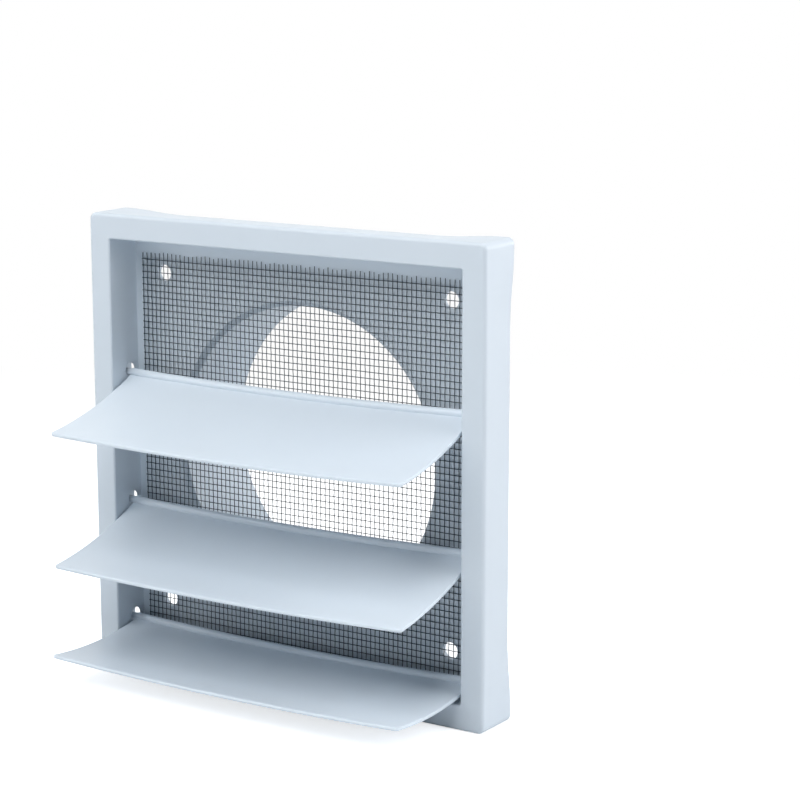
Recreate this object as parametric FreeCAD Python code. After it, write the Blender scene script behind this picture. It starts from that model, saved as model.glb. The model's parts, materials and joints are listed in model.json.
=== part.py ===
import FreeCAD, Part
import math
import os

# Square gravity-flap vent cap for a round duct: one moulded body, three flaps and a woven insect screen.
# The origin is on the duct's axis, in the plane of the wall. +Y runs into the wall, so the front face looks
# along -Y. +Z is up in the stance that is modelled, turned over from use, with the flaps fallen open.
# Lengths are in millimetres and angles in degrees.

# Front frame and its skirt
FACE = 150.0  # side of the square front face
DEPTH = 16.3  # front face to the wall
BEZEL = 8.2  # width of the border round the opening
FACE_T = 2.0  # thickness of that border
SKIRT_T = 1.8  # wall of the outer skirt
SKIRT_FLARE = 0.1  # how far each skirt corner stands out at the wall
SKIRT_SINK = 1.2  # how far the middle of each skirt side is drawn in at the wall
SINK_RUN = 25.0  # length of the S-curve from a skirt corner to the drawn-in middle
CORNER_R = 2.2  # upright corners of the skirt
FACE_EDGE_R = 1.2  # rounding of the front face's outer edge
OPENING_BEVEL = 0.4  # bevel of the opening's front edge

# Well behind the opening, and the plate that closes it
WELL_T = 1.5  # inner walls
WELL_CORNER_R = 0.5  # upright corners inside the well
PLATE_T = 1.9  # back plate
PLATE_SET_IN = 1.0  # back plate's rear face to the wall
SCREW_R = 2.75  # wall screw holes
SCREW_INSET = 11.8  # hole centres from the well's walls

# Duct collar
COLLAR_R = 49.8  # outside
COLLAR_T = 1.4  # wall
COLLAR_LENGTH = 30.0  # from the back plate's rear face
MOUTH_BEVEL = 1.7  # bevel where the back plate turns into the collar

# Flaps
FLAP_T = 1.2  # plate
FLAP_CROWN = 1.9  # how far the plate bulges outward across its width
FLAP_SAG = 1.4  # how far it bulges outward along its length
FLAP_SPANS = 4  # straight spans that follow that bulge
FLAP_END_GAP = 0.8  # flap end to well wall
FLAP_TIP_GAP = 1.5  # upper flap's free edge to the well wall when shut
FLAP_CORNER = 1.0  # bevel of the free edge's corners
BEAD_R = 1.35  # hinge bead
PIN_STEP = 0.15  # how much smaller the pins are than the bead, in radius
PIN_OUT = 0.8  # pin end beyond the well wall
PIN_GAP = 0.3  # under the pin, in its hole
HOLE_EASE = 1.1  # how much larger the pivot holes are than the pins, in radius
HINGE_STANDOFF = 4.2  # hinge line in front of the back plate
LOWER_RISE = 4.7  # lowest hinge line above the well's lower wall
LOWER_LAP = 3.2  # how far the lower flap passes the middle hinge line when shut
MIDDLE_LAP = 0.2  # how far the middle flap passes the upper hinge line when shut
OPEN_DIP = 17.5  # how far the upper and middle flaps hang below level when open
FLAP_REST_GAP = 0.3  # between the open lower flap and the frame that it comes to rest on

# Insect screen: one thin wall with a grid of gaps, upright strands in front and level strands behind
SCREEN_SIDE_GAP = 2.9  # screen's sides to the well wall
SCREEN_END_GAP = 5.1  # screen's top and bottom to the well wall
SCREEN_WEB_T = 0.3  # wall
STRAND_H = 0.3  # height of the ridge along each bar
SCREEN_BAR = 2.4  # bars between gaps
GAPS_ACROSS = 10
GAPS_UP = 9

# Places that follow from the sizes above
WELL = FACE / 2 - BEZEL  # half the opening
FRONT = -DEPTH
PLATE_BACK = -PLATE_SET_IN
PLATE_FRONT = PLATE_BACK - PLATE_T
COLLAR_END = PLATE_BACK + COLLAR_LENGTH
HINGE_Y = PLATE_FRONT - HINGE_STANDOFF
FLAP_REACH = (2 * WELL - LOWER_RISE - FLAP_TIP_GAP + LOWER_LAP + MIDDLE_LAP) / 3
LOWER_HINGE = LOWER_RISE - WELL
MIDDLE_HINGE = LOWER_HINGE + FLAP_REACH - LOWER_LAP
UPPER_HINGE = MIDDLE_HINGE + FLAP_REACH - MIDDLE_LAP
FLAP_HALF = WELL - FLAP_END_GAP
PIN_R = BEAD_R - PIN_STEP
HOLE_R = PIN_R + HOLE_EASE
OVERRUN = 1.0  # how far a cutting tool passes the face that it cuts

V = FreeCAD.Vector
X_AXIS = V(1, 0, 0)
Y_AXIS = V(0, 1, 0)
Z_AXIS = V(0, 0, 1)


def rounded_prism(half_x, half_z, corner_r, y_from, y_to):
    """A bar along Y with a rectangular section and rounded corners."""
    box = Part.makeBox(2 * half_x, y_to - y_from, 2 * half_z, V(-half_x, y_from, -half_z))
    return box.makeFillet(corner_r, [e for e in box.Edges if e.tangentAt(0).cross(Y_AXIS).Length < 1e-6])


def disc_bar(radius, y_from, y_to, x=0.0, z=0.0):
    """A round bar along Y."""
    return Part.makeCylinder(radius, y_to - y_from, V(x, y_from, z), Y_AXIS)


def skirt_wire(y, half, corner_r, sink):
    """The skirt's outline: rounded corners, and S-curves that draw each side in to a flat middle."""
    straight = half - corner_r
    inset = corner_r * (1 - math.sqrt(0.5))
    # Each S-curve is two equal arcs: five points, as shares of its run and of its sink.
    shares = ((0, 0), (1 / 4, 1 / 8), (1 / 2, 1 / 2), (3 / 4, 7 / 8), (1, 1))
    leave = [(straight - run * SINK_RUN, half - drop * sink) for run, drop in shares]
    side = leave + [(-along, out) for along, out in reversed(leave)]
    corner = [(-straight, half), (inset - half, half - inset), (-half, straight)]

    def place(point, turn):
        along, out = point
        c, s = ((1, 0), (0, 1), (-1, 0), (0, -1))[turn]
        return V(along * c - out * s, y, along * s + out * c)

    def curve(points):
        return Part.Arc(*points).toShape() if sink else Part.LineSegment(points[0], points[-1]).toShape()

    edges = []
    for turn in range(4):
        points = [place(point, turn) for point in side]
        edges += [curve(points[0:3]), curve(points[2:5]), Part.LineSegment(points[4], points[5]).toShape(),
                  curve(points[5:8]), curve(points[7:10])]
        edges.append(Part.Arc(*[place(point, turn) for point in corner]).toShape())
    return Part.Wire(edges)


def skirt_block(inset):
    """The solid inside the skirt's outline, set in from the outer faces, from the border to the wall."""
    corner_r = CORNER_R - inset
    front = skirt_wire(FRONT + FACE_T, FACE / 2 - inset, corner_r, 0.0)
    rear = skirt_wire(0.0, FACE / 2 + SKIRT_FLARE - inset, corner_r, SKIRT_SINK)
    return Part.makeLoft([front, rear], True, True)


def front_edges(solid, limit):
    """The edges in the front face's plane that lie within a distance from its centre, on either axis."""
    flat = [e for e in solid.Edges if all(abs(v.Point.y - FRONT) < 1e-6 for v in e.Vertexes)]
    return [e for e in flat if all(max(abs(v.Point.x), abs(v.Point.z)) < limit for v in e.Vertexes)]


def ring_edges(solid, y, radius):
    """The round edges about the duct's axis at one depth and radius."""
    return [e for e in solid.Edges if isinstance(e.Curve, Part.Circle)
            and abs(e.Curve.Radius - radius) < 1e-6 and abs(e.Curve.Center.y - y) < 1e-6]


def hinge_place(height):
    """The middle of a hinge line."""
    return V(0, HINGE_Y, height)


def crown_radius():
    """Radius of the flap's outer face across its width."""
    return (FLAP_REACH ** 2 / 4 + FLAP_CROWN ** 2) / (2 * FLAP_CROWN)


def lower_dip():
    """How far the lower flap hangs below level, with its outer face's middle at the frame's lower lip."""
    lip = V(0, FRONT + OPENING_BEVEL - HINGE_Y, -LOWER_RISE)
    centre = V(0, -FLAP_REACH / 2, crown_radius() - FLAP_CROWN - BEAD_R - FLAP_SAG)
    # The lip, the hinge and the centre of the outer face's arc make a triangle with its apex at the hinge.
    far_side = crown_radius() + FLAP_REST_GAP
    cosine = (lip.Length ** 2 + centre.Length ** 2 - far_side ** 2) / (2 * lip.Length * centre.Length)
    return math.degrees(lip.getAngle(centre) - math.acos(cosine))


def pivot_holes(height):
    """A bar through both side walls for one hinge line's holes, with the pins near their lower edges."""
    half = WELL + WELL_T + OVERRUN
    lift = HOLE_R - PIN_R - PIN_GAP
    return Part.makeCylinder(HOLE_R, 2 * half, V(-half, HINGE_Y, height + lift), X_AXIS)


def body():
    """The moulding: border, skirt, well with pivot holes, back plate with screw holes, and duct collar."""
    border = rounded_prism(FACE / 2, FACE / 2, CORNER_R, FRONT, FRONT + FACE_T)
    border = border.makeFillet(FACE_EDGE_R, front_edges(border, FACE))
    outside = WELL + WELL_T
    outer_well = rounded_prism(outside, outside, WELL_CORNER_R + WELL_T, FRONT + FACE_T / 2, PLATE_BACK)
    collar = disc_bar(COLLAR_R, PLATE_FRONT, COLLAR_END)
    shell = border.fuse([skirt_block(0.0).cut(skirt_block(SKIRT_T)), outer_well, collar])
    shell = shell.cut(rounded_prism(WELL, WELL, WELL_CORNER_R, FRONT - OVERRUN, PLATE_FRONT))
    shell = shell.cut(disc_bar(COLLAR_R - COLLAR_T, PLATE_FRONT - OVERRUN, COLLAR_END + OVERRUN))
    shell = shell.removeSplitter()
    shell = shell.makeChamfer(OPENING_BEVEL, front_edges(shell, WELL + BEZEL / 2))
    shell = shell.makeChamfer(MOUTH_BEVEL, ring_edges(shell, PLATE_FRONT, COLLAR_R - COLLAR_T))
    shell = shell.cut([pivot_holes(height) for height in (UPPER_HINGE, MIDDLE_HINGE, LOWER_HINGE)])
    spread = WELL - SCREW_INSET
    screws = [disc_bar(SCREW_R, PLATE_FRONT - OVERRUN, PLATE_BACK + OVERRUN, x, z)
              for x in (-spread, spread) for z in (-spread, spread)]
    return shell.cut(screws).removeSplitter()


def flap_section(cut_back):
    """The flap's section, hinge at the origin: a crowned band from the bead, cut back at its tip."""
    outer_r = crown_radius()
    inner_r = outer_r - FLAP_T
    centre = V(0, -FLAP_REACH / 2, outer_r - FLAP_CROWN - BEAD_R)
    half_turn = math.asin(FLAP_REACH / 2 / outer_r)

    def on_arc(radius, turn):
        return centre - V(0, math.sin(turn), math.cos(turn)) * radius

    # The inner face's circle crosses the bead's here, on the free edge's side.
    towards = (centre.Length ** 2 + BEAD_R ** 2 - inner_r ** 2) / (2 * centre.Length)
    aside = math.sqrt(BEAD_R ** 2 - towards ** 2)
    ahead = V(centre).normalize()
    meet = ahead * towards + X_AXIS.cross(ahead) * aside
    root = on_arc(outer_r, -half_turn)
    tip_turn = half_turn - cut_back / outer_r
    outer_tip = on_arc(outer_r, tip_turn)
    inner_tip = on_arc(inner_r, tip_turn)
    return Part.Wire([
        Part.Arc(root, on_arc(outer_r, 0), outer_tip).toShape(),
        Part.LineSegment(outer_tip, inner_tip).toShape(),
        Part.Arc(inner_tip, on_arc(inner_r, 0), meet).toShape(),
        Part.Arc(meet, Y_AXIS * BEAD_R, root).toShape()])


def flap_plate():
    """The section carried along the flap in straight spans, on a bow whose ends meet the hinge line."""
    half = FLAP_HALF - FLAP_CORNER
    stations = [half * (2 * span / FLAP_SPANS - 1) for span in range(FLAP_SPANS + 1)]
    sections = []
    for x in [-FLAP_HALF] + stations + [FLAP_HALF]:
        section = flap_section(max(abs(x) - half, 0.0))
        section.translate(V(x, 0, FLAP_SAG * ((x / FLAP_HALF) ** 2 - 1)))
        sections.append(section)
    return Part.makeLoft(sections, True, True)


def flap(height, dip):
    """One flap at its place: crowned plate, hinge bead and two end pins, hanging below level by the dip."""
    pin_length = WELL + WELL_T + PIN_OUT - FLAP_HALF + BEAD_R
    pins = [Part.makeCylinder(PIN_R, pin_length, V(side * (FLAP_HALF - BEAD_R), 0, 0), X_AXIS * side)
            for side in (-1, 1)]
    solid = flap_plate().fuse(pins).removeSplitter()
    solid.rotate(V(0, 0, 0), X_AXIS, dip)
    solid.translate(hinge_place(height))
    return solid


def slab(loops, thickness):
    """A flat plate that fills the first loop and leaves the others open, thickened along +Y."""
    wires = [Part.makePolygon(points + points[:1]) for points in loops]
    return Part.makeFace(wires, "Part::FaceMakerBullseye").extrude(Y_AXIS * thickness)


def upright_loop(x_from, x_to, z_from, z_to, y):
    """The corners of a rectangle that faces along Y."""
    return [V(x_from, y, z_from), V(x_to, y, z_from), V(x_to, y, z_to), V(x_from, y, z_to)]


def ridge(start, run, rise):
    """One strand: a roof-shaped ridge along its run, standing out by its rise and twice as wide."""
    side = run.cross(rise).normalize() * rise.Length
    return Part.Face(Part.makePolygon([start - side, start + rise, start + side, start - side])).extrude(run)


def insect_screen():
    """The screen: a thin wall with a grid of gaps, and a strand along every bar, lying on the back plate."""
    half_x = WELL - SCREEN_SIDE_GAP
    half_z = WELL - SCREEN_END_GAP
    behind = PLATE_FRONT - STRAND_H
    before = behind - SCREEN_WEB_T
    pitch_x = (2 * half_x - SCREEN_BAR) / GAPS_ACROSS
    pitch_z = (2 * half_z - SCREEN_BAR) / GAPS_UP
    bars_x = [SCREEN_BAR / 2 - half_x + i * pitch_x for i in range(GAPS_ACROSS + 1)]
    bars_z = [SCREEN_BAR / 2 - half_z + k * pitch_z for k in range(GAPS_UP + 1)]
    inset = SCREEN_BAR / 2
    gaps = [upright_loop(x + inset, x + pitch_x - inset, z + inset, z + pitch_z - inset, before)
            for x in bars_x[:-1] for z in bars_z[:-1]]
    wall = slab([upright_loop(-half_x, half_x, -half_z, half_z, before)] + gaps, SCREEN_WEB_T)
    uprights = [ridge(V(x, before, -half_z), Z_AXIS * 2 * half_z, Y_AXIS * -STRAND_H) for x in bars_x]
    levels = [ridge(V(-half_x, behind, z), X_AXIS * 2 * half_x, Y_AXIS * STRAND_H) for z in bars_z]
    return wall.fuse(uprights + levels).removeSplitter()


def main():
    """Builds every piece and writes one file each."""
    pieces = {
        "body": body(),
        "flap_upper": flap(UPPER_HINGE, OPEN_DIP),
        "flap_middle": flap(MIDDLE_HINGE, OPEN_DIP),
        "flap_lower": flap(LOWER_HINGE, lower_dip()),
        "insect_screen": insect_screen(),
    }
    os.makedirs("parts", exist_ok=True)
    for name, shape in pieces.items():
        shape.exportStep("parts/" + name + ".step")
        box = shape.BoundBox
        print(name, len(shape.Solids), "solid", shape.isValid(), round(shape.Volume, 1), "mm3",
              [round(v, 2) for v in (box.XMin, box.XMax, box.YMin, box.YMax, box.ZMin, box.ZMax)])


main()
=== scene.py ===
import json
import logging
import math
from dataclasses import dataclass, field
from enum import Enum

import bpy
import numpy as np
from mathutils import Matrix, Vector
from mathutils.geometry import delaunay_2d_cdt


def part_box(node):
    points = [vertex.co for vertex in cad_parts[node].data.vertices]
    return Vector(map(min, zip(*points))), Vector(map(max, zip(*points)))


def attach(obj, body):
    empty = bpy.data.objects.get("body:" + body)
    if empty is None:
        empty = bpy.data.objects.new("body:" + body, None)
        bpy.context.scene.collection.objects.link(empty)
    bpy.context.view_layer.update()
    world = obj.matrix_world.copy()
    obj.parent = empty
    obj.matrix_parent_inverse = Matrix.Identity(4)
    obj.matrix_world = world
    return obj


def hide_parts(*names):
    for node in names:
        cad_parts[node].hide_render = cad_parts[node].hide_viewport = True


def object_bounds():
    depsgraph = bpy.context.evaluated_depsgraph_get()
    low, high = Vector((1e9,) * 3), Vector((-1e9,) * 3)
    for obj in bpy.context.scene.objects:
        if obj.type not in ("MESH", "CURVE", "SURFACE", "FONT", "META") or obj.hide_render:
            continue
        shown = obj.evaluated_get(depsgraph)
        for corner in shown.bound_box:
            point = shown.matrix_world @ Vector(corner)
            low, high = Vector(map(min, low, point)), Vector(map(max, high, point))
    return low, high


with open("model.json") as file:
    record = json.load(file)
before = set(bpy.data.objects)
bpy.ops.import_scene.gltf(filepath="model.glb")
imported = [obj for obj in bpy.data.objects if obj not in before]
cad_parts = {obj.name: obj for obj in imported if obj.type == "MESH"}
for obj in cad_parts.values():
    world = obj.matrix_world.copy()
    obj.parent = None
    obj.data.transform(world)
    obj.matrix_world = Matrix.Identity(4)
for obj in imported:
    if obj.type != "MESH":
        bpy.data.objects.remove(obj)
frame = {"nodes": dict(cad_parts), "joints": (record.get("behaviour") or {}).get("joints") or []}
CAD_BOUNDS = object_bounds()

LOG = logging.getLogger("vent_cap")
MM = 0.001
FULL_TURN = 2 * math.pi
QUARTER_TURN = math.pi / 2
# A colour Mix node's factor, its two colours, and what it gives
MIX_FACTOR, MIX_FIRST, MIX_SECOND, MIX_RESULT = 0, 6, 7, 2
# Noise seldom leaves this range, so a setting's two ends are put there
NOISE_RANGE = (0.3, 0.7)
# Asks the triangulation to stay inside its border
INSIDE_BORDER = 1


class FlapName(Enum):
    """The three flaps, by the name their CAD node, body and joint share."""

    UPPER = "upper"
    MIDDLE = "middle"
    LOWER = "lower"


class WireRun(Enum):
    """The two directions of wire in the woven screen."""

    UPRIGHT = "upright"
    LEVEL = "level"


# Colour, nodes and meshes


def linear(hex_colour: str) -> tuple[float, float, float, float]:
    """Turns a written sRGB colour into the linear one that Blender works in.

    Args:
        hex_colour: Six hexadecimal digits after a hash sign.

    Returns:
        Red, green, blue and a full alpha.
    """
    parts = [int(hex_colour[i:i + 2], 16) / 255 for i in (1, 3, 5)]
    red, green, blue = (c / 12.92 if c <= 0.04045 else ((c + 0.055) / 1.055) ** 2.4 for c in parts)
    return red, green, blue, 1.0


def add_node(tree: bpy.types.NodeTree, kind: str, inputs: dict[str | int, object] | None = None,
             **settings: object) -> bpy.types.Node:
    """Adds one node, sets its properties and fills or links its inputs.

    Args:
        tree: The tree that takes the node.
        kind: Blender's name for the node type.
        inputs: Input name or index to a constant, or to the output socket that feeds it.
        **settings: Properties of the node itself.

    Returns:
        The new node.
    """
    node = tree.nodes.new(kind)
    for name, value in settings.items():
        setattr(node, name, value)
    for key, value in (inputs or {}).items():
        if isinstance(value, bpy.types.NodeSocket):
            tree.links.new(value, node.inputs[key])
        else:
            node.inputs[key].default_value = value
    return node


def blank_material(name: str) -> bpy.types.Material:
    """Makes a node material with nothing in its tree.

    Args:
        name: What the surface is made of and how.

    Returns:
        The empty material.
    """
    material = bpy.data.materials.new(name)
    material.use_nodes = True
    material.node_tree.nodes.clear()
    return material


def mesh_object(name: str, points: np.ndarray, *face_sets: np.ndarray,
                crease: float = 40.0) -> bpy.types.Object:
    """Makes a smooth-shaded object from whole arrays and links it to the scene.

    Args:
        name: The object's name.
        points: Vertex places in metres, one row each.
        *face_sets: Arrays of vertex numbers, one face a row, each array with its own face width.
        crease: Edges sharper than this many degrees are shaded hard.

    Returns:
        The new object, at the origin.
    """
    corners = np.concatenate([faces.ravel() for faces in face_sets])
    widths = np.concatenate([np.full(len(faces), faces.shape[1]) for faces in face_sets])
    mesh = bpy.data.meshes.new(name)
    mesh.vertices.add(len(points))
    mesh.vertices.foreach_set("co", points.astype(np.float32).ravel())
    mesh.loops.add(len(corners))
    mesh.loops.foreach_set("vertex_index", corners.astype(np.int32))
    mesh.polygons.add(len(widths))
    mesh.polygons.foreach_set("loop_start", (np.cumsum(widths) - widths).astype(np.int32))
    mesh.update(calc_edges=True)
    mesh.validate()
    mesh.shade_smooth()
    mesh.set_sharp_from_angle(angle=math.radians(crease))
    made = bpy.data.objects.new(name, mesh)
    bpy.context.scene.collection.objects.link(made)
    LOG.info("%s: %d vertices, %d faces", name, len(points), len(widths))
    return made


def tube_faces(tubes: int, rings: int, sides: int) -> tuple[np.ndarray, np.ndarray]:
    """Numbers the faces of several closed tubes whose points run tube by tube, ring by ring.

    Args:
        tubes: How many separate tubes there are.
        rings: Rings along each tube.
        sides: Points round each ring.

    Returns:
        The quads of the walls, and the end caps, all facing out for a ring that
        turns anticlockwise seen from the tube's far end.
    """
    number = np.arange(tubes * rings * sides).reshape(tubes, rings, sides)
    onward = np.roll(number, -1, axis=2)
    walls = np.stack([number[:, :-1], onward[:, :-1], onward[:, 1:], number[:, 1:]], axis=-1)
    caps = np.concatenate([number[:, 0, ::-1], number[:, -1]])
    return walls.reshape(-1, 4), caps


# Finishes


@dataclass(frozen=True)
class MouldedPlastic:
    """White polypropylene as it leaves a polished mould: satin, cool and very slightly uneven."""

    name: str
    colour: str = "#D0DAE3"
    shade: str = "#CAD5DF"
    roughness: tuple[float, float] = (0.34, 0.46)
    cloud_mm: float = 38.0
    peel_mm: float = 1.3
    peel_depth_mm: float = 0.0035
    sink_mm: float = 26.0
    sink_depth_mm: float = 0.05
    edge_mm: float = 0.3
    refraction: float = 1.49

    def material(self) -> bpy.types.Material:
        """Builds the shader.

        Returns:
            A material whose faint clouding, polish and mould ripple are patterns in millimetres.
        """
        made = blank_material(self.name)
        tree = made.node_tree
        place = add_node(tree, "ShaderNodeTexCoord").outputs["Object"]
        cloud = add_node(tree, "ShaderNodeTexNoise", {
            "Vector": place, "Scale": 1 / (self.cloud_mm * MM), "Detail": 3.0, "Roughness": 0.55})
        peel = add_node(tree, "ShaderNodeTexNoise", {
            "Vector": place, "Scale": 1 / (self.peel_mm * MM), "Detail": 2.0, "Roughness": 0.5})
        sink = add_node(tree, "ShaderNodeTexNoise", {
            "Vector": place, "Scale": 1 / (self.sink_mm * MM), "Detail": 1.0, "Roughness": 0.4})
        # The eye reads the slow drift between two near whites as real resin rather than paint
        tone = add_node(tree, "ShaderNodeMix", {
            MIX_FACTOR: cloud.outputs["Fac"], MIX_FIRST: linear(self.colour),
            MIX_SECOND: linear(self.shade)}, data_type="RGBA")
        polish = add_node(tree, "ShaderNodeMapRange", {
            "Value": cloud.outputs["Fac"], "From Min": NOISE_RANGE[0], "From Max": NOISE_RANGE[1],
            "To Min": self.roughness[0], "To Max": self.roughness[1]})
        # Softened edges catch a thin line of light, as moulded ones do
        edge = add_node(tree, "ShaderNodeBevel", {"Radius": self.edge_mm * MM}, samples=6)
        # Orange peel breaks up the highlights, and sink marks bend them slowly
        ripple = add_node(tree, "ShaderNodeBump", {
            "Height": peel.outputs["Fac"], "Distance": self.peel_depth_mm * MM, "Strength": 1.0,
            "Normal": edge.outputs["Normal"]})
        wave = add_node(tree, "ShaderNodeBump", {
            "Height": sink.outputs["Fac"], "Distance": self.sink_depth_mm * MM, "Strength": 1.0,
            "Normal": ripple.outputs["Normal"]})
        plastic = add_node(tree, "ShaderNodeBsdfPrincipled", {
            "Base Color": tone.outputs[MIX_RESULT], "Roughness": polish.outputs["Result"],
            "IOR": self.refraction, "Normal": wave.outputs["Normal"]})
        add_node(tree, "ShaderNodeOutputMaterial", {"Surface": plastic.outputs["BSDF"]})
        return made


@dataclass(frozen=True)
class CoatedWire:
    """Black vinyl drawn over glass yarn: dark and soft, a little greyer where it has rubbed."""

    name: str = "black_vinyl_coated_glass_yarn"
    colour: str = "#13242F"
    rubbed: str = "#2A404E"
    roughness: tuple[float, float] = (0.42, 0.62)
    fleck_mm: float = 0.9
    drift_mm: float = 14.0

    def material(self) -> bpy.types.Material:
        """Builds the shader.

        Returns:
            A material that flickers between two near blacks along the wires.
        """
        made = blank_material(self.name)
        tree = made.node_tree
        place = add_node(tree, "ShaderNodeTexCoord").outputs["Object"]
        fleck = add_node(tree, "ShaderNodeTexNoise", {
            "Vector": place, "Scale": 1 / (self.fleck_mm * MM), "Detail": 2.0})
        drift = add_node(tree, "ShaderNodeTexNoise", {
            "Vector": place, "Scale": 1 / (self.drift_mm * MM), "Detail": 1.0})
        # Uneven coating keeps hundreds of equal wires from reading as printed lines
        wear = add_node(tree, "ShaderNodeMath", {
            0: fleck.outputs["Fac"], 1: drift.outputs["Fac"]}, operation="MULTIPLY")
        tone = add_node(tree, "ShaderNodeMix", {
            MIX_FACTOR: wear.outputs["Value"], MIX_FIRST: linear(self.colour),
            MIX_SECOND: linear(self.rubbed)}, data_type="RGBA")
        polish = add_node(tree, "ShaderNodeMapRange", {
            "Value": fleck.outputs["Fac"], "From Min": NOISE_RANGE[0], "From Max": NOISE_RANGE[1],
            "To Min": self.roughness[0], "To Max": self.roughness[1]})
        vinyl = add_node(tree, "ShaderNodeBsdfPrincipled", {
            "Base Color": tone.outputs[MIX_RESULT], "Roughness": polish.outputs["Result"]})
        add_node(tree, "ShaderNodeOutputMaterial", {"Surface": vinyl.outputs["BSDF"]})
        return made


@dataclass(frozen=True)
class PaperSweep:
    """White backdrop paper under the object, lit until it meets the background."""

    name: str = "white_matt_backdrop_paper"
    colour: str = "#F4F6F8"
    fibre: str = "#EDF0F3"
    fibre_mm: float = 2.0
    lift: float = 0.66
    fade_mm: tuple[float, float] = (150.0, 600.0)

    def material(self) -> bpy.types.Material:
        """Builds the shader.

        Returns:
            A matt material, lifted for the camera, that fades to plain white away from the object.
        """
        made = blank_material(self.name)
        tree = made.node_tree
        place = add_node(tree, "ShaderNodeTexCoord").outputs["Object"]
        fibre = add_node(tree, "ShaderNodeTexNoise", {
            "Vector": place, "Scale": 1 / (self.fibre_mm * MM), "Detail": 3.0})
        tone = add_node(tree, "ShaderNodeMix", {
            MIX_FACTOR: fibre.outputs["Fac"], MIX_FIRST: linear(self.colour),
            MIX_SECOND: linear(self.fibre)}, data_type="RGBA")
        paper = add_node(tree, "ShaderNodeBsdfDiffuse", {"Color": tone.outputs[MIX_RESULT]})
        rays = add_node(tree, "ShaderNodeLightPath")
        # The lift brings the paper near white and leaves the contact shadow
        lifted = add_node(tree, "ShaderNodeMath", {
            0: rays.outputs["Is Camera Ray"], 1: self.lift}, operation="MULTIPLY")
        glow = add_node(tree, "ShaderNodeEmission", {"Strength": lifted.outputs["Value"]})
        near = add_node(tree, "ShaderNodeAddShader", {
            0: paper.outputs["BSDF"], 1: glow.outputs["Emission"]})
        # The fade hides the paper's far edge
        away = add_node(tree, "ShaderNodeVectorMath", {0: place}, operation="LENGTH")
        fade = add_node(tree, "ShaderNodeMapRange", {
            "Value": away.outputs["Value"], "From Min": self.fade_mm[0] * MM,
            "From Max": self.fade_mm[1] * MM}, interpolation_type="SMOOTHSTEP")
        gone = add_node(tree, "ShaderNodeMath", {
            0: rays.outputs["Is Camera Ray"], 1: fade.outputs["Result"]}, operation="MULTIPLY")
        white = add_node(tree, "ShaderNodeEmission", {"Strength": 1.0})
        both = add_node(tree, "ShaderNodeMixShader", {
            0: gone.outputs["Value"], 1: near.outputs["Shader"], 2: white.outputs["Emission"]})
        add_node(tree, "ShaderNodeOutputMaterial", {"Surface": both.outputs["Shader"]})
        return made


# The vent's sub-assemblies


@dataclass(frozen=True)
class Surface:
    """Triangles with a normal at each corner; points in millimetres, and three point numbers a triangle."""

    points: np.ndarray
    triangles: np.ndarray
    normals: np.ndarray


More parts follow.
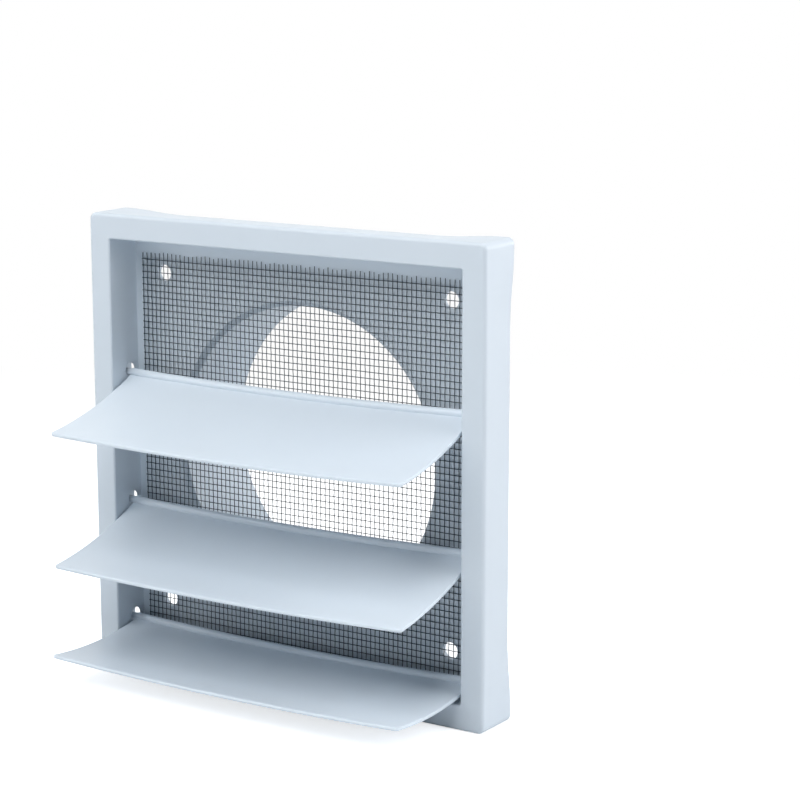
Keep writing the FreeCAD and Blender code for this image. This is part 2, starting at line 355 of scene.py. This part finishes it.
@dataclass
class VentBody:
    """The square frame, its back plate and its duct collar, moulded in one; sizes in millimetres."""

    finish: MouldedPlastic = MouldedPlastic("white_polypropylene_moulded_body")
    hole_radius: float = 2.3
    hole_lift: float = 0.8
    wall_outside: float = 68.3
    sink_depth: float = 1.3
    sink_radius: float = 4.4
    slack: float = 0.05
    weld: float = 0.001
    drawing_slack: float = 1e-5
    made: bpy.types.Object | None = None

    def cad_surface(self) -> Surface:
        """Copies the CAD body's triangles and joins the points that lie at one place.

        Returns:
            The body's surface, with the CAD's own normals.
        """
        source = frame["nodes"]["body"].data
        loose = np.empty((len(source.vertices), 3), np.float32)
        source.vertices.foreach_get("co", loose.ravel())
        corners = np.empty(len(source.loops), np.int32)
        source.loops.foreach_get("vertex_index", corners)
        normals = np.empty((len(source.loops), 3), np.float32)
        source.corner_normals.foreach_get("vector", normals.ravel())
        _, first, joined = np.unique(
            np.round(loose / (self.weld * MM)), axis=0, return_index=True, return_inverse=True)
        return Surface(loose[first] / MM, joined.ravel()[corners].reshape(-1, 3), normals.reshape(-1, 3, 3))

    def rims(self, points: np.ndarray, on_face: np.ndarray) -> tuple[np.ndarray, np.ndarray, np.ndarray]:
        """Finds the pivot holes' rims on one wall's outer face.

        A rim point lies on the face, the hole's radius away from the middle of the nearest hole.

        Args:
            points: The body's points in millimetres.
            on_face: Whether each point lies on the face.

        Returns:
            The rim points' numbers, each one's hole, and its spoke, a unit step in Y and Z from the hole's
            middle.
        """
        hinges = np.array([joint["pos_m"] for joint in frame["joints"]])[:, 1:] / MM
        spokes = points[:, None, 1:] - (hinges + np.array([0.0, self.hole_lift]))
        away = np.linalg.norm(spokes, axis=2)
        rim = np.flatnonzero(on_face & (np.abs(away.min(axis=1) - self.hole_radius) < self.slack))
        hole = away.argmin(axis=1)[rim]
        return rim, hole, spokes[rim, hole] / self.hole_radius

    def redrawn(self, places: np.ndarray, border: np.ndarray, circle: np.ndarray) -> np.ndarray:
        """Draws a flat face anew between its outer border and the circles in it.

        The triangulation fills the outer border. A triangle with all three corners on one circle lies
        inside that circle, and is left out.

        Args:
            places: Y and Z of every point.
            border: Point numbers of the edges of the border and the circles, two a row.
            circle: The circle that each point is on, or minus one.

        Returns:
            Point numbers of the triangles, three a row, anticlockwise seen from +X.
        """
        known, local = np.unique(border, return_inverse=True)
        _, _, found, origin, _, _ = delaunay_2d_cdt(
            places[known].tolist(), local.reshape(-1, 2).tolist(), [], INSIDE_BORDER, self.drawing_slack)
        drawn = known[np.array(origin)[:, 0][np.array(found)]]
        corners = circle[drawn]
        inside = (corners[:, 0] >= 0) & (corners == corners[:, :1]).all(axis=1)
        return drawn[~inside]

    def countersunk(self, surface: Surface, side: float) -> Surface:
        """Countersinks one side wall's pivot holes from outside, so that light shows past the pins.

        The wall's flat outer face is taken away and drawn anew round wider circles, one about each hole.
        The holes' rims move in by the depth of the sink, and a cone joins each rim to its circle.

        Args:
            surface: The body's surface.
            side: Minus one for the left wall, plus one for the right.

        Returns:
            The surface with the three sinks.
        """
        points, triangles = surface.points, surface.triangles
        count, widening = len(points), self.sink_radius - self.hole_radius
        on_face = np.abs(side * points[:, 0] - self.wall_outside) < self.slack
        flat = on_face[triangles].all(axis=1)
        rim, hole, spoke = self.rims(points, on_face)
        sunk = np.concatenate([points, points[rim] + np.insert(spoke * widening, 0, 0.0, axis=1)])
        sunk[rim, 0] -= side * self.sink_depth
        wider = np.arange(count)
        wider[rim] = count + np.arange(len(rim))

        # An edge is on the border of the flat face where no second triangle of it runs the other way
        edges = triangles[flat][:, [[0, 1], [1, 2], [2, 0]]].reshape(-1, 2)
        border = edges[~np.isin(edges @ np.array([count, 1]), edges @ np.array([1, count]))]
        circle = np.concatenate([np.full(count, -1), hole])
        face = self.redrawn(sunk[:, 1:], wider[border], circle)[:, ::int(side)]
        start, end = border[np.isin(border, rim).all(axis=1)].T
        near_half = np.stack([start, end, wider[end]], axis=1)
        far_half = np.stack([start, wider[end], wider[start]], axis=1)
        cone = np.concatenate([near_half, far_half])

        # A cone's normal leans from the wall's own towards the hole's middle line
        reach = np.zeros((len(sunk), 2))
        reach[rim] = reach[count:] = spoke
        slope = np.insert(-self.sink_depth * reach[cone], 0, side * widening, axis=2)
        slope /= np.linalg.norm(slope, axis=2, keepdims=True)
        level = np.tile([side, 0.0, 0.0], (len(face), 3, 1))
        return Surface(sunk, np.concatenate([triangles[~flat], face, cone]),
                       np.concatenate([surface.normals[~flat], level, slope]))

    def build(self) -> bpy.types.Object:
        """Makes the body from the CAD surface, with countersunk pivot holes.

        Returns:
            The body's object.
        """
        surface = self.cad_surface()
        for side in (-1.0, 1.0):
            surface = self.countersunk(surface, side)
        self.made = mesh_object("moulded_vent_body", surface.points * MM, surface.triangles)
        self.made.data.normals_split_custom_set(surface.normals.reshape(-1, 3))
        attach(self.made, "vent")
        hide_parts("body")
        return self.made

    def dress(self) -> None:
        """Gives the body its plastic."""
        self.made.data.materials.append(self.finish.material())


@dataclass
class Flap:
    """One bowed flap with its hinge bead and end pins; sizes in millimetres and turns in degrees."""

    name: FlapName
    finish: MouldedPlastic
    half_length: float = 66.0
    reach: float = 43.6
    plate: float = 1.2
    crown: float = 1.9
    sag: float = 1.4
    bead_radius: float = 1.35
    pin_radius: float = 1.2
    shut_turn: float = 86.5
    corner: float = 1.0
    tip_round: float = 0.42
    end_round: float = 0.3
    pin_round: float = 0.25
    least_round: float = 0.05
    face_points: int = 40
    bead_points: int = 30
    edge_points: int = 6
    run_stations: int = 34
    corner_stations: int = 9
    end_stations: int = 7
    pin_sides: int = 24
    made: bpy.types.Object | None = None

    @property
    def node(self) -> str:
        """Name of the CAD node the flap stands for."""
        return f"flap_{self.name.value}"

    @property
    def body(self) -> str:
        """Name of the CAD body the flap rides on."""
        return f"{self.name.value}_flap"

    @property
    def joint(self) -> dict:
        """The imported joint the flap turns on."""
        return next(j for j in frame["joints"] if j["child"] == self.body)

    def sections(self, inset: np.ndarray, cut_back: np.ndarray) -> np.ndarray:
        """Draws the flap's closed section at many stations at once.

        The two faces are arcs about one centre above the plate. They run from the bead's circle to a
        rounded free edge, and the bead's circle closes the loop. An inset shrinks every part alike.

        Args:
            inset: How far each station's outline is drawn in, in millimetres.
            cut_back: How far each station's free edge is drawn back.

        Returns:
            Y and Z in the flap's own level frame, stations by points by two, anticlockwise seen from +X.
        """
        # The radius of an arc from its chord and its rise
        outer = (self.reach ** 2 / 4 + self.crown ** 2) / (2 * self.crown)
        centre = np.array([-self.reach / 2, outer - self.crown - self.bead_radius])
        far = np.hypot(*centre)
        ahead = centre / far
        aside = np.array([-ahead[1], ahead[0]])
        inset, cut_back = inset[:, None], cut_back[:, None]
        bead = self.bead_radius - inset
        low, high = outer - inset, outer - self.plate + inset

        def meet(radius: np.ndarray) -> np.ndarray:
            """Angle round the bead, from the centre's direction, at which a face's circle meets it.

            Args:
                radius: The face's radius at each station.

            Returns:
                The angle in radians at each station.
            """
            return np.arccos((far ** 2 + bead ** 2 - radius ** 2) / (2 * far * bead))

        def round_bead(angle: np.ndarray) -> np.ndarray:
            """Points on the bead's circle.

            Args:
                angle: Angles from the centre's direction, stations by points.

            Returns:
                Y and Z, stations by points by two.
            """
            reach = np.cos(angle)[..., None] * ahead + np.sin(angle)[..., None] * aside
            return bead[..., None] * reach

        def on_arc(radius: np.ndarray, turn: np.ndarray) -> np.ndarray:
            """Points at a radius and a turn about the faces' centre.

            Args:
                radius: Radii, stations by points.
                turn: Turns from straight down, towards the free edge.

            Returns:
                Y and Z, stations by points by two.
            """
            return centre - np.stack([radius * np.sin(turn), radius * np.cos(turn)], axis=-1)

        def turn_at(points: np.ndarray) -> np.ndarray:
            """Turn about the faces' centre at which points lie.

            Args:
                points: Y and Z, stations by one by two.

            Returns:
                Turns, stations by one.
            """
            away = centre - points
            return np.arctan2(away[..., 0], away[..., 1])

        low_meet, high_meet = meet(low), meet(high)
        half_turn = math.asin(self.reach / 2 / outer)
        tip = half_turn - (cut_back + inset) / outer
        rounded = np.maximum(self.tip_round - inset, self.least_round)
        straight = tip - rounded / outer
        along = np.linspace(0.0, 1.0, self.face_points)[None, :]
        quarter = np.linspace(0.0, QUARTER_TURN, self.edge_points)[None, :]
        low_root, high_root = turn_at(round_bead(low_meet)), turn_at(round_bead(high_meet))
        under = on_arc(low + 0 * along, low_root + (straight - low_root) * along)
        nose = on_arc(low - rounded * (1 - np.cos(quarter)), straight + rounded * np.sin(quarter) / outer)
        brow = on_arc(high + rounded * (1 - np.sin(quarter)), straight + rounded * np.cos(quarter) / outer)
        over = on_arc(high + 0 * along, straight + (high_root - straight) * along)
        share = np.linspace(0.0, 1.0, self.bead_points)[None, 1:-1]
        sweep = high_meet + (low_meet - FULL_TURN - high_meet) * share
        loop = np.concatenate([under, nose[:, 1:], brow, over[:, 1:], round_bead(sweep)], axis=1)
        return loop[:, ::-1]

    def stations(self) -> tuple[np.ndarray, np.ndarray, np.ndarray]:
        """Places the sections along the flap, closer together at its rounded ends.

        Returns:
            X, inset and cut-back of each station, in millimetres.
        """
        quarter = np.linspace(0.0, QUARTER_TURN, self.end_stations)[1:]
        turn_in = self.half_length - self.corner
        run = np.linspace(0.0, turn_in, self.run_stations)
        shoulder = np.linspace(turn_in, self.half_length - self.end_round, self.corner_stations)[1:]
        right = np.concatenate([run, shoulder, self.half_length - self.end_round * (1 - np.sin(quarter))])
        inset = np.concatenate([np.zeros(len(run) + len(shoulder)), self.end_round * (1 - np.cos(quarter))])
        past = np.maximum(right - turn_in, 0.0)
        cut_back = self.corner - np.sqrt(np.maximum(self.corner ** 2 - past ** 2, 0.0))
        mirror = slice(None, 0, -1)
        return (np.concatenate([-right[mirror], right]), np.concatenate([inset[mirror], inset]),
                np.concatenate([cut_back[mirror], cut_back]))

    def pins(self, pin_end: float) -> np.ndarray:
        """Turns the two end pins, each a short cylinder with a rounded nose.

        Args:
            pin_end: X of the pins' far ends in millimetres.

        Returns:
            Points, two pins by rings by sides by three, in the flap's level frame.
        """
        quarter = np.linspace(0.0, QUARTER_TURN, self.edge_points)
        start = self.half_length - 2 * self.end_round
        x = np.concatenate([[start], pin_end - self.pin_round * (1 - np.sin(quarter))])
        nose = self.pin_radius - self.pin_round * (1 - np.cos(quarter))
        radius = np.concatenate([[self.pin_radius], nose])
        angle = np.linspace(0.0, FULL_TURN, self.pin_sides, endpoint=False)
        ring = np.stack(np.broadcast_arrays(
            x[:, None], radius[:, None] * np.cos(angle), radius[:, None] * np.sin(angle)), axis=-1)
        return np.stack([ring, ring * np.array([-1.0, -1.0, 1.0])])

    def build(self) -> bpy.types.Object:
        """Lofts the flap, turns it to its open rest and sets it on its hinge line.

        Returns:
            The flap's object.
        """
        x, inset, cut_back = self.stations()
        loop = self.sections(inset, cut_back)
        height = loop[..., 1] + self.sag * ((x / self.half_length) ** 2 - 1)[:, None]
        plate = np.stack([np.broadcast_to(x[:, None], height.shape), loop[..., 0], height], axis=-1)
        pins = self.pins(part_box(self.node)[1].x / MM)
        points = np.concatenate([plate.reshape(-1, 3), pins.reshape(-1, 3)])
        walls, caps = tube_faces(1, *plate.shape[:2])
        pin_walls, pin_caps = tube_faces(*pins.shape[:3])
        dip = math.radians(self.joint["range_deg"][1] - self.shut_turn)
        turn = np.array([[1, 0, 0], [0, math.cos(dip), -math.sin(dip)], [0, math.sin(dip), math.cos(dip)]])
        placed = points @ turn.T * MM + np.array(self.joint["pos_m"])
        first = plate.shape[0] * plate.shape[1]
        self.made = mesh_object(
            f"bowed_{self.node}", placed, walls, caps, pin_walls + first, pin_caps + first)
        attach(self.made, self.body)
        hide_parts(self.node)
        return self.made

    def dress(self) -> None:
        """Gives the flap its plastic."""
        self.made.data.materials.append(self.finish.material())


@dataclass
class WovenScreen:
    """The black insect screen, woven wire over and under wire; sizes in millimetres."""

    finish: CoatedWire = CoatedWire()
    wire: float = 0.28
    crimp: float = 0.06
    upright_pitch: float = 1.708
    level_pitch: float = 2.083
    fringe: float = 2.6
    lower_run: float = 4.0
    side_fringe: float = 0.3
    uneven_ends: float = 0.3
    wander: float = 0.03
    wander_lengths: tuple[float, float] = (35.0, 95.0)
    crease: float = 80.0
    sides: int = 5
    samples: int = 3
    seed: int = 7
    made: list[bpy.types.Object] = field(default_factory=list)

    def corners(self) -> tuple[np.ndarray, np.ndarray]:
        """Takes the CAD screen's box and draws its lower edge down behind the lower hinge.

        Returns:
            The lowest and the highest corner of the weave, in millimetres.
        """
        low, high = (np.array(corner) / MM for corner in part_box("insect_screen"))
        return low - np.array([0.0, 0.0, self.lower_run]), high

    def crossings(self) -> tuple[np.ndarray, np.ndarray]:
        """Places the wires in the weave's box.

        Returns:
            X of the upright wires and Z of the level ones, in millimetres.
        """
        low, high = self.corners()
        margin = self.wire / 2 + self.wander
        left, right = low[0] + margin + self.side_fringe, high[0] - margin - self.side_fringe
        bottom, top = low[2] + self.fringe, high[2] - self.fringe
        return (np.linspace(left, right, round((right - left) / self.upright_pitch) + 1),
                np.linspace(bottom, top, round((top - bottom) / self.level_pitch) + 1))

    def wires(self, run: WireRun) -> np.ndarray:
        """Shapes every wire of one direction at once.

        Each wire is a tube whose middle line rises and falls as a cosine, one half wave from a crossing
        to the next and turned over from wire to wire, with a slow sideways wander of its own.

        Args:
            run: Which direction to shape.

        Returns:
            Points in metres, wires by rings by sides by three.
        """
        chance = np.random.default_rng(self.seed + len(run.value))
        low, high = self.corners()
        across, along = (0, 2) if run is WireRun.UPRIGHT else (2, 0)
        places = self.crossings()
        fixed, crossed = places if run is WireRun.UPRIGHT else places[::-1]
        count = len(fixed)
        loose = self.fringe if run is WireRun.UPRIGHT else self.side_fringe
        start = low[along] + self.uneven_ends * loose * chance.random((count, 1))
        end = high[along] - self.uneven_ends * loose * chance.random((count, 1))
        t = start + (end - start) * np.linspace(0.0, 1.0, (len(crossed) + 1) * self.samples + 1)
        pitch = crossed[1] - crossed[0]
        parity = np.where(np.arange(count) % 2, -1.0, 1.0)[:, None]
        side = 1.0 if run is WireRun.UPRIGHT else -1.0
        rise = np.cos(math.pi * (t - crossed[0]) / pitch)
        depth = (low[1] + high[1]) / 2 + side * parity * self.crimp * rise
        length = chance.uniform(*self.wander_lengths, (count, 1))
        phase = chance.uniform(0.0, FULL_TURN, (count, 1))
        drift = fixed[:, None] + self.wander * np.sin(FULL_TURN * t / length + phase)
        angle = np.linspace(0.0, FULL_TURN, self.sides, endpoint=False)
        points = np.empty((*t.shape, self.sides, 3))
        points[..., along] = t[..., None]
        ring = np.cos(angle), np.sin(angle)
        flat, deep = ring if run is WireRun.UPRIGHT else ring[::-1]
        points[..., across] = drift[..., None] + self.wire / 2 * flat
        points[..., 1] = depth[..., None] + self.wire / 2 * deep
        return points * MM

    def build(self) -> list[bpy.types.Object]:
        """Weaves the screen, one piece for each direction.

        Returns:
            The two pieces.
        """
        for run in WireRun:
            points = self.wires(run)
            walls, caps = tube_faces(*points.shape[:3])
            piece = mesh_object(
                f"screen_{run.value}_wires", points.reshape(-1, 3), walls, caps, crease=self.crease)
            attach(piece, "vent")
            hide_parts("insect_screen")
            self.made.append(piece)
        return self.made

    def dress(self) -> None:
        """Gives both directions the same coating."""
        coating = self.finish.material()
        for piece in self.made:
            piece.data.materials.append(coating)


# The studio


@dataclass(frozen=True)
class Softbox:
    """A rectangular lamp behind white cloth; lengths in metres."""

    name: str
    place: tuple[float, float, float]
    size: tuple[float, float]
    watts: float
    colour: str = "#FFFFFF"
    aim: tuple[float, float, float] = (0.0, 0.0, 0.0)

    def build(self) -> bpy.types.Object:
        """Hangs the lamp and turns it to its aim.

        Returns:
            The lamp's object.
        """
        lamp = bpy.data.lights.new(self.name, "AREA")
        lamp.shape = "RECTANGLE"
        lamp.size, lamp.size_y = self.size
        lamp.energy = self.watts
        lamp.color = linear(self.colour)[:3]
        made = bpy.data.objects.new(self.name, lamp)
        made.location = self.place
        made.rotation_euler = (Vector(self.aim) - Vector(self.place)).to_track_quat("-Z", "Y").to_euler()
        bpy.context.scene.collection.objects.link(made)
        LOG.info("%s: %.1f W", self.name, self.watts)
        return made


@dataclass
class Studio:
    """Floor, light and camera at the photograph's angle; lengths in metres and turns in degrees."""

    paper: PaperSweep = PaperSweep()
    floor_half: float = 4.0
    sky_colour: str = "#FBFDFF"
    sky_strength: float = 0.4
    sky_fade: tuple[float, float] = (0.2, 0.9)
    azimuth: float = 32.832
    elevation: float = 11.148
    roll: float = -0.045
    distance: float = 0.698840
    target: tuple[float, float, float] = (0.045235, -0.0163, 0.025548)
    lens: float = 104.364
    sensor: float = 36.0
    clip: tuple[float, float] = (0.01, 50.0)
    softboxes: tuple[Softbox, ...] = (
        Softbox("overhead_softbox", (0.0, 0.0, 1.2), (1.2, 1.2), 4.2),
        Softbox("front_overhead_softbox", (0.0, -0.75, 1.0), (1.0, 0.8), 9.5),
        Softbox("high_right_softbox", (1.0, 0.1, 0.9), (0.7, 0.7), 5.9),
        Softbox("right_softbox", (1.4, 0.1, 0.35), (0.9, 0.9), 2.7, "#FFFAFD"),
        Softbox("left_fill", (-1.0, -0.9, 0.6), (0.9, 0.9), 6.2),
        Softbox("back_right_softbox", (0.9, 1.1, 0.2), (0.8, 0.8), 8.0),
    )

    def floor(self) -> None:
        """Lays the paper at the height of the object's lowest point."""
        half, level = self.floor_half, CAD_BOUNDS[0].z
        corners = np.array([
            [-half, -half, level], [half, -half, level], [half, half, level], [-half, half, level]])
        made = mesh_object("paper_floor", corners, np.array([[0, 1, 2, 3]]))
        made.data.materials.append(self.paper.material())

    def world(self) -> None:
        """Lights the object from the backdrop behind it, and shows plain white to camera and reflections."""
        made = bpy.data.worlds.new("white_studio")
        bpy.context.scene.world = made
        made.use_nodes = True
        tree = made.node_tree
        tree.nodes.clear()
        rays = add_node(tree, "ShaderNodeLightPath").outputs
        mirror = add_node(tree, "ShaderNodeMath", {
            0: rays["Is Camera Ray"], 1: rays["Is Glossy Ray"]}, operation="MAXIMUM")
        seen = add_node(tree, "ShaderNodeMath", {
            0: mirror.outputs["Value"], 1: rays["Is Transmission Ray"]}, operation="MAXIMUM")
        toward = add_node(tree, "ShaderNodeTexCoord").outputs["Generated"]
        split = add_node(tree, "ShaderNodeSeparateXYZ", {"Vector": toward})
        level = add_node(tree, "ShaderNodeMapRange", {
            "Value": split.outputs["Y"], "From Min": self.sky_fade[0], "From Max": self.sky_fade[1],
            "To Max": self.sky_strength})
        light = add_node(tree, "ShaderNodeBackground", {
            "Color": linear(self.sky_colour), "Strength": level.outputs["Result"]})
        white = add_node(tree, "ShaderNodeBackground", {"Color": linear("#FFFFFF"), "Strength": 1.0})
        both = add_node(tree, "ShaderNodeMixShader", {
            0: seen.outputs["Value"], 1: light.outputs["Background"], 2: white.outputs["Background"]})
        add_node(tree, "ShaderNodeOutputWorld", {"Surface": both.outputs["Shader"]})

    def camera(self) -> None:
        """Sets the camera that the photograph's own lines fit."""
        turn, rise, tilt = (math.radians(a) for a in (self.azimuth, self.elevation, self.roll))
        back = Vector((math.sin(turn) * math.cos(rise), -math.cos(turn) * math.cos(rise), math.sin(rise)))
        right = Vector((math.cos(turn), math.sin(turn), 0.0))
        up = back.cross(right)
        rolled = right * math.cos(tilt) + up * math.sin(tilt)
        lens = bpy.data.cameras.new("photo_camera")
        lens.sensor_width = self.sensor
        lens.lens = self.lens
        lens.clip_start, lens.clip_end = self.clip
        made = bpy.data.objects.new("photo_camera", lens)
        made.matrix_world = Matrix.Translation(Vector(self.target) + back * self.distance) @ Matrix(
            (rolled, back.cross(rolled), back)).transposed().to_4x4()
        bpy.context.scene.collection.objects.link(made)
        bpy.context.scene.camera = made

    def build(self) -> None:
        """Sets up the floor, the lights, the camera and the plain view."""
        self.floor()
        self.world()
        for softbox in self.softboxes:
            softbox.build()
        self.camera()
        bpy.context.scene.view_settings.view_transform = "Standard"


def main() -> None:
    """Builds and dresses the vent, then the studio round it."""
    logging.basicConfig(level=logging.INFO, format="%(name)s: %(message)s")
    # The flaps' plastic is the body's white painted about a tenth lighter. This is painted light, standing
    # in for the stronger light on the flaps' tops.
    flap_plastic_painted_lighter = MouldedPlastic(
        "white_polypropylene_flap_painted_lighter", colour="#D9E4ED", shade="#D3DEE9", peel_depth_mm=0.002)
    for part in (VentBody(), *(Flap(name, flap_plastic_painted_lighter) for name in FlapName), WovenScreen()):
        part.build()
        part.dress()
    Studio().build()


if __name__ == "__main__":
    main()
